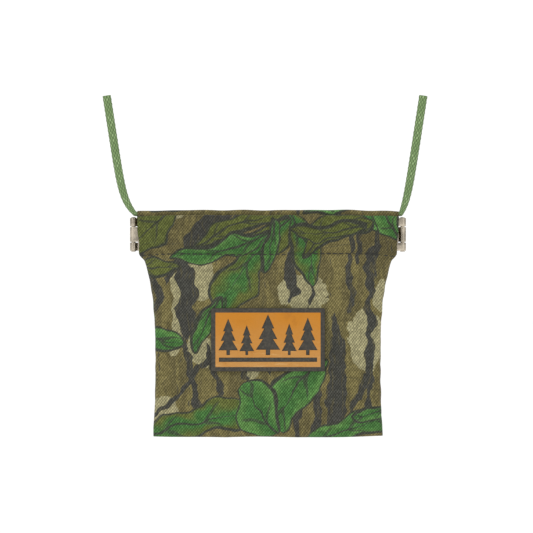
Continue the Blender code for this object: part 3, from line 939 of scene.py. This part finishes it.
def braid(name, path, widths, depths, material):
    """A braided cord along path: strands that pass over and under each other, as real relief."""
    path = np.asarray(path, float)
    travel = travel_along(path)
    count = int(travel[-1] / CORD_STEP)
    s = np.linspace(0, travel[-1], count)
    line = np.stack([np.interp(s, travel, path[:, k]) for k in range(3)], axis=1)
    width, depth = np.interp(s, travel, widths), np.interp(s, travel, depths)
    ahead = np.gradient(line, axis=0)
    ahead /= np.linalg.norm(ahead, axis=1)[:, None]
    out = np.tile((0.0, 1.0, 0.0), (count, 1))
    side = np.cross(out, ahead)
    side /= np.linalg.norm(side, axis=1)[:, None]
    angle = np.linspace(0, math.tau, CORD_SIDES, endpoint=False)[None, :]
    a = CARRIERS * angle / math.tau + s[:, None] / LAY
    b = CARRIERS * angle / math.tau - s[:, None] / LAY
    over = (np.floor(a) + np.floor(b)) % 2 == 0
    across, along = np.where(over, a % 1, b % 1), np.where(over, b % 1, a % 1)
    raised = np.sin(math.pi * across) ** 0.7 * (0.45 + 0.55 * np.sin(math.pi * along))
    strand = np.where(over, np.floor(a) % CARRIERS, CARRIERS + np.floor(b) % CARRIERS)
    tone = (np.sin(strand * 12.9898) * 43758.5453) % 1
    swell = 0.86 + 0.14 * raised
    ring = side[:, None, :] * (np.cos(angle) * width[:, None] * swell)[..., None]
    ring = ring + out[:, None, :] * (np.sin(angle) * depth[:, None] * swell)[..., None]
    obj = mesh_object(name, line[:, None, :] + ring, grid_faces(*raised.shape, tube=True))
    store(obj.data, "raised", raised)
    store(obj.data, "strand", tone)
    finish_piece(obj, material, 80)
    return obj


def cord_leg(side, material):
    """A free leg: level out of the casing, a short turn up, then a steady lean to its cut end."""
    name = SIDE_NAMES[side]
    low, high = box_mm(f"{name}_cord_leg")
    middle_y = (low[1] + high[1]) / 2
    run_z = (RUN_LOW[2] + RUN_HIGH[2]) / 2
    start = min(abs(low[0]), abs(high[0])) - CORD_TUCK
    end = max(abs(low[0]), abs(high[0])) - CORD_HALF_WIDTH
    height = high[2] - run_z
    turn = end - start - CORD_EXIT - CORD_LEAN * height
    t = np.linspace(0, 1, 60) ** 1.7
    grown = 1 - np.exp(-t * height / CORD_TURN_HEIGHT)
    x = start + CORD_EXIT + turn * grown + CORD_LEAN * t * height
    path = np.stack([side * x, np.full_like(x, middle_y), run_z + t * height], axis=1)
    path = np.concatenate([[(side * start, middle_y, run_z)], path])
    sizes = np.concatenate([[CORD_NARROW], CORD_NARROW + (1 - CORD_NARROW) * grown])
    widths, depths = CORD_HALF_WIDTH * sizes, CORD_HALF_DEPTH * np.sqrt(sizes)
    obj = braid(f"{name}_cord_braid", path, widths, depths, material)
    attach(obj, f"{name}_cord")
    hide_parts(f"{name}_cord_leg")


def cord_run(material):
    """The cord inside the back casing."""
    middle = (RUN_LOW + RUN_HIGH) / 2
    x = np.linspace(RUN_LOW[0] - CORD_TUCK, RUN_HIGH[0] + CORD_TUCK, 80)
    path = np.stack([x, np.full_like(x, middle[1]), np.full_like(x, middle[2])], axis=1)
    radius = (RUN_HIGH - RUN_LOW) / 2
    widths, depths = np.full_like(x, radius[2]), np.full_like(x, radius[1])
    obj = braid("cord_run_braid", path, widths, depths, material)
    bend_with_mouth(obj, BACK)
    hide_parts("cord_run")


# Metal.


def rolled_leaf(side, face, nickel):
    """A hinge leaf bent from sheet: a plate, tabs folded over the band, and knuckles rolled round the
    pin."""
    node = f"{SIDE_NAMES[side]}_{FACE_NAMES[face]}_leaf"
    low, high = box_mm(node)
    middle_z = (low[2] + high[2]) / 2
    far = PIN_X - min(abs(low[0]), abs(high[0]))
    tab_end = far - TAB_END_GAP
    tab_out = max(abs(low[1]), abs(high[1])) - LEAF_SHEET / 2
    half, inner = (high[2] - low[2]) / 2, MIDDLE_KNUCKLE_HALF
    spans = [(-half, -inner - KNUCKLE_GAP), (inner + KNUCKLE_GAP, half)]
    if side == face:  # the leaf with the middle knuckle
        spans = [(-inner, inner)]
    roll = LEAF_OUTER_X - PIN_X - LEAF_SHEET / 2
    levels = [-half, half, *(z for span in spans for z in span), *np.linspace(-half, half, 13)]
    heights = sorted({round(float(z), 2) for z in levels})
    half = heights[-1]
    plate = [LEAF_CLEARANCE, *np.linspace(TAB_START, tab_end, 6), far]
    bm = bmesh.new()
    made = {}

    def point(x, y, z):
        """A corner at x from the pin towards the middle, y outward, z from the leaf's middle."""
        key = (round(x, 3), round(y, 3), round(z, 3))
        if key not in made:
            made[key] = bm.verts.new((side * (PIN_X - x) * MM, face * y * MM, (middle_z + z) * MM))
        return made[key]

    def strip(path, levels):
        for a, b in zip(path, path[1:]):
            for z0, z1 in zip(levels, levels[1:]):
                bm.faces.new((point(*a, z0), point(*b, z0), point(*b, z1), point(*a, z1)))

    strip([(x, roll) for x in plate], heights)
    turns = np.linspace(0, KNUCKLE_TURN, 22)
    curl = [(LEAF_CLEARANCE, roll), (LEAF_CLEARANCE / 2, roll)]
    curl += [(-math.sin(a) * roll, math.cos(a) * roll) for a in turns]
    for z0, z1 in spans:
        strip(curl, [z for z in heights if z0 - 0.01 <= z <= z1 + 0.01])
    columns = plate[1:-1]
    for end in (-1, 1):
        shares = np.linspace(0, 1, 5)
        over = [(roll + (tab_out - TAB_BEND - roll) * share, half) for share in shares]
        down = [(tab_out, half - TAB_BEND - (TAB_HEIGHT - TAB_BEND) * share) for share in shares]
        path = [*over, (tab_out - 0.3 * TAB_BEND, half - 0.3 * TAB_BEND), *down]
        for x0, x1 in zip(columns, columns[1:]):
            for (y0, z0), (y1, z1) in zip(path, path[1:]):
                corners = (x0, y0, z0), (x1, y0, z0), (x1, y1, z1), (x0, y1, z1)
                bm.faces.new([point(x, y, end * z) for x, y, z in corners])
    obj = solid_object(f"{node}_sheet", bm)
    solidify(obj, LEAF_SHEET)
    edge = obj.modifiers.new("edge", "BEVEL")
    edge.width = SHEET_EDGE * MM
    edge.segments = 2
    edge.angle_limit = math.radians(50)
    finish_piece(obj, nickel, 40)
    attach(obj, node)
    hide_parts(node)


# The patch.


def spruce(x, foot, height, width):
    """The outline of a plain spruce: tiers of drooping branches on a short trunk."""
    tiers, stem, skirt = 3, 0.09 * width, foot + 0.13 * height
    tier = 0.87 * height / (tiers + 0.35)
    right = [(stem, foot), (stem, skirt)]
    for i in range(tiers):
        wide = width / 2 * (1 - 0.24 * i)
        right += [(wide, skirt + tier * i), (wide * 0.42, skirt + tier * (i + 1))]
    right[-1] = (0, foot + height)
    left = [(-a, b) for a, b in reversed(right[:-1])]
    return [(x + a, b) for a, b in right + left]


def rounded_rectangle(half_x, half_z, radius, middle_z):
    """The corners of a rectangle with rounded corners, as (x, z)."""
    points = []
    for quarter in range(4):
        turn = np.linspace(0, math.pi / 2, 6) + quarter * math.pi / 2
        x = (half_x - radius) * (1 if quarter in (0, 3) else -1)
        z = middle_z + (half_z - radius) * (1 if quarter in (0, 1) else -1)
        points += [(x + radius * math.cos(a), z + radius * math.sin(a)) for a in turn]
    return points


def bridge(bm, ring, further):
    """Quads from one ring of corners to the next."""
    corners = zip(ring, ring[1:] + ring[:1], further[1:] + further[:1], further)
    return [bm.faces.new(four) for four in corners]


def prism(name, outline, near, far):
    """A closed flat-sided solid through an outline in the XZ plane, between two depths."""
    bm = bmesh.new()
    front = [bm.verts.new((x * MM, near * MM, z * MM)) for x, z in outline]
    back = [bm.verts.new((x * MM, far * MM, z * MM)) for x, z in outline]
    bm.faces.new(front)
    bm.faces.new(back[::-1])
    bridge(bm, front, back)
    bmesh.ops.recalc_face_normals(bm, faces=bm.faces)
    bmesh.ops.triangulate(bm, faces=[f for f in bm.faces if len(f.verts) > 4])
    return solid_object(name, bm)


def cut(obj, tool):
    """Cuts tool out of obj for good, and removes tool."""
    modifier = obj.modifiers.new("cut", "BOOLEAN")
    modifier.operation = "DIFFERENCE"
    modifier.object = tool
    modifier.solver = "EXACT"
    modifier.material_mode = "TRANSFER"
    mesh = evaluated_mesh(obj)
    obj.modifiers.clear()
    obj.data = mesh
    bpy.data.objects.remove(tool)


def leather_patch(leather, scorched):
    """A leather rectangle with a burnt border and a burnt-in row of spruces."""
    low, high = PATCH_LOW, PATCH_HIGH
    half_x, half_z, middle_z = high[0], (high[2] - low[2]) / 2, (high[2] + low[2]) / 2
    face_y = low[1]
    sunk = face_y + BORDER_DEPTH
    # (inset from the outline, depth), from the back to the front
    levels = [(0.15, high[1]), (0, high[1] - 0.15), (0, sunk + 0.25), (0.08, sunk + 0.08), (0.25, sunk)]
    levels += [(BORDER - 0.15, sunk), (BORDER, face_y + 0.03), (BORDER + 0.12, face_y)]
    bm = bmesh.new()
    rings = []
    for inset, y in levels:
        outline = rounded_rectangle(half_x - inset, half_z - inset, max(0.7 - inset, 0.15), middle_z)
        rings.append([bm.verts.new((x * MM, y * MM, z * MM)) for x, z in outline])
    for ring, further in zip(rings, rings[1:]):
        for face in bridge(bm, ring, further):
            face.material_index = 1
    bm.faces.new(rings[0])
    bm.faces.new(rings[-1])
    obj = solid_object("leather_patch_burnt", bm)
    obj.data.materials.append(leather)
    obj.data.materials.append(scorched)
    foot = low[2] + 5.0
    # (middle x, height, width)
    trees = [(-14.6, 13.4, 7.2), (-7.8, 11, 5.5), (0, 15, 9), (7.8, 11.6, 5.5), (14.6, 13.8, 7.2)]
    motif = [spruce(x, foot + 1.0, height, width) for x, height, width in trees]
    motif.append([(-18, foot - 1.5), (18, foot - 1.5), (18, foot + 0.1), (-18, foot + 0.1)])
    for number, outline in enumerate(motif):
        cutter = prism(f"motif_{number}", outline, face_y - 1, face_y + ENGRAVING)
        cutter.data.materials.append(scorched)
        cut(obj, cutter)
    place = places(obj.data) / MM
    store(obj.data, "print", place[:, [0, 2, 1]], "FLOAT_VECTOR")
    obj.data.shade_smooth()
    obj.data.set_sharp_from_angle(angle=math.radians(35))
    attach(obj, "front_wall")
    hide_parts("leather_patch")


# The stage.


def floor():
    paper, s = new_material("floor_paper")
    s.surface(Base_Color=(0.97, 0.97, 0.97), Roughness=1.0)
    s.surface(Emission_Color=(1.0, 1.0, 1.0), Emission_Strength=FLOOR_GLOW)
    reach = FLOOR_REACH / MM
    corners = [(-reach, -reach, 0), (reach, -reach, 0), (reach, reach, 0), (-reach, reach, 0)]
    obj = mesh_object("floor", corners, [(0, 1, 2, 3)])
    obj.location.z = FLOOR_Z
    obj.data.materials.append(paper)


def studio_world():
    """White all round. Mirror-like metal sees dark flags at the sides and straight ahead."""
    world = bpy.data.worlds.new("studio")
    bpy.context.scene.world = world
    world.use_nodes = True
    s = Nodes(world.node_tree)
    base = world.node_tree.nodes["Background"]
    rays = s.node("ShaderNodeLightPath").outputs
    aside, _, _ = s.split(s.node("ShaderNodeTexCoord").outputs["Generated"])
    aside = s.math("ABSOLUTE", aside)
    flags = s.mul(s.step(aside, 0.1, 0.5, 0.35, 1.1), s.step(aside, 0.75, 1.0, 1.0, 0.3))
    light = s.add(WORLD_LIGHT, s.mul(rays["Is Glossy Ray"], s.sub(flags, WORLD_LIGHT)))
    light = s.add(light, s.mul(rays["Is Camera Ray"], CAMERA_LIGHT - WORLD_LIGHT))
    s.put(base.inputs["Color"], (1.0, 1.0, 1.0))
    s.put(base.inputs["Strength"], light)


def studio():
    floor()
    studio_world()
    for name, (place, size, power) in LIGHTS.items():
        light = bpy.data.lights.new(name, "AREA")
        light.size = size
        light.energy = power
        obj = link(name, light)
        obj.location = place
        aim = Vector(LIGHT_TARGET) - Vector(place)
        obj.rotation_euler = aim.to_track_quat("-Z", "Y").to_euler()
    camera = bpy.data.cameras.new("camera")
    camera.lens = camera.sensor_width * -CAMERA_PLACE[1] / VIEW_WIDTH
    obj = link("camera", camera)
    obj.location = CAMERA_PLACE
    obj.rotation_euler = (math.pi / 2, 0, 0)
    bpy.context.scene.camera = obj
    bpy.context.scene.view_settings.view_transform = "Standard"


def build():
    cloth = camo_twill()
    wrong_side = camo_twill("camo_twill_wrong_side", faded=0.5)
    thread = thread_material()
    cord = cord_material()
    nickel = metal_material("nickel_plate", (0.6, 0.53, 0.42), 0.2, 0.3)
    steel = metal_material("spring_steel", (0.4, 0.4, 0.39), 0.32, 0.04)
    for face in (FRONT, BACK):
        surface = cloth_wall(face, cloth, wrong_side)
        hem_stitches(face, surface, thread)
        spring_band(face, steel)
        for side in (LEFT, RIGHT):
            rolled_leaf(side, face, nickel)
    for side, name in SIDE_NAMES.items():
        cord_leg(side, cord)
        pin = frame["nodes"][f"{name}_hinge_pin"]
        pin.data.materials.clear()
        pin.data.materials.append(nickel)
    cord_run(cord)
    seam_allowances(cloth, thread)
    leather_patch(leather_material(), scorched_material())
    studio()


build()
bpy.context.view_layer.update()
